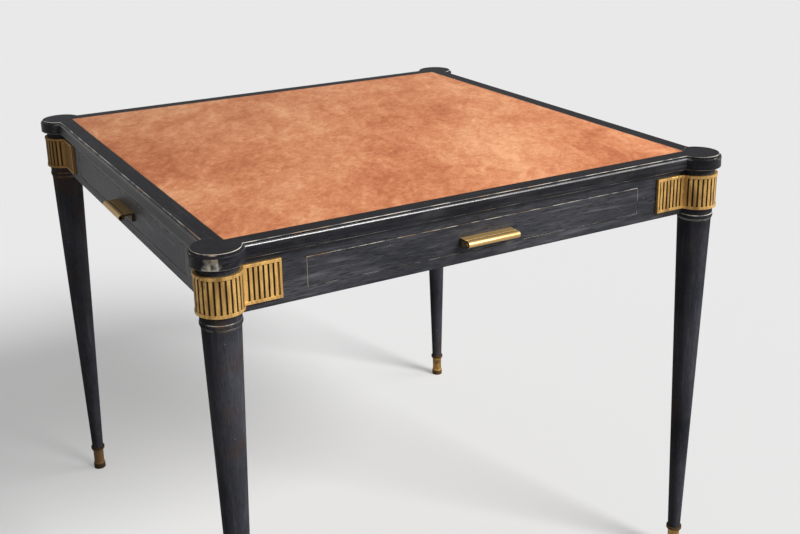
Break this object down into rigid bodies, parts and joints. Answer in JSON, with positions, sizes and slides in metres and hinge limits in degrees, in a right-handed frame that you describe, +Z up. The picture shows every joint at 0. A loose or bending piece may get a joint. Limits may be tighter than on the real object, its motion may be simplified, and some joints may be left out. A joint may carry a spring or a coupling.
{
  "type": "square game table",
  "caption": "Square ebonised game table with a suede playing field, round corner turrets, fluted brass mounts and a shallow drawer in each apron.",
  "frame": {"origin": "on the floor under the middle of the table top", "axes": "+Z up, -Y towards the front drawer, +X towards the right drawer"},
  "size_m": [0.879, 0.879, 0.73],
  "materials": {
    "ebonised_top": "satin black lacquer rubbed at the edges",
    "ebonised_frame": "satin black lacquer",
    "ebonised_leg": "satin black lacquer",
    "secondary_wood": "plain oiled beech",
    "drawer_wood": "waxed oak",
    "drawer_panel": "waxed plywood",
    "suede": "terracotta suede with a short nap",
    "gilt_brass": "worn gilt brass",
    "pull_brass": "polished brass",
    "aged_brass": "dulled brass"
  },
  "bodies": {
    "table": {"top_rail_front": "ebonised_top", "top_rail_right": "ebonised_top", "top_rail_back": "ebonised_top", "top_rail_left": "ebonised_top", "top_board": "secondary_wood", "suede_field": "suede", "apron_front": "ebonised_frame", "inner_rail_front": "secondary_wood", "front_drawer_guides": "secondary_wood", "apron_right": "ebonised_frame", "inner_rail_right": "secondary_wood", "right_drawer_guides": "secondary_wood", "apron_back": "ebonised_frame", "inner_rail_back": "secondary_wood", "back_drawer_guides": "secondary_wood", "apron_left": "ebonised_frame", "inner_rail_left": "secondary_wood", "left_drawer_guides": "secondary_wood", "legs": "ebonised_leg", "corner_mounts": "gilt_brass", "sabots": "aged_brass", "corner_blocks": "secondary_wood"},
    "front_drawer": {"front_drawer_front": "ebonised_frame", "front_drawer_side_left": "drawer_wood", "front_drawer_side_right": "drawer_wood", "front_drawer_back": "drawer_wood", "front_drawer_bottom": "drawer_panel", "front_pull": "pull_brass"},
    "right_drawer": {"right_drawer_front": "ebonised_frame", "right_drawer_side_left": "drawer_wood", "right_drawer_side_right": "drawer_wood", "right_drawer_back": "drawer_wood", "right_drawer_bottom": "drawer_panel", "right_pull": "pull_brass"},
    "back_drawer": {"back_drawer_front": "ebonised_frame", "back_drawer_side_left": "drawer_wood", "back_drawer_side_right": "drawer_wood", "back_drawer_back": "drawer_wood", "back_drawer_bottom": "drawer_panel", "back_pull": "pull_brass"},
    "left_drawer": {"left_drawer_front": "ebonised_frame", "left_drawer_side_left": "drawer_wood", "left_drawer_side_right": "drawer_wood", "left_drawer_back": "drawer_wood", "left_drawer_bottom": "drawer_panel", "left_pull": "pull_brass"}
  },
  "joints": [
    {"name": "front_drawer_slide", "type": "slide", "parent": "table", "child": "front_drawer", "axis": [0, -1, 0], "range_m": [0, 0.081]},
    {"name": "right_drawer_slide", "type": "slide", "parent": "table", "child": "right_drawer", "axis": [1, 0, 0], "range_m": [0, 0.081]},
    {"name": "back_drawer_slide", "type": "slide", "parent": "table", "child": "back_drawer", "axis": [0, 1, 0], "range_m": [0, 0.081]},
    {"name": "left_drawer_slide", "type": "slide", "parent": "table", "child": "left_drawer", "axis": [-1, 0, 0], "range_m": [0, 0.081]}
  ]
}
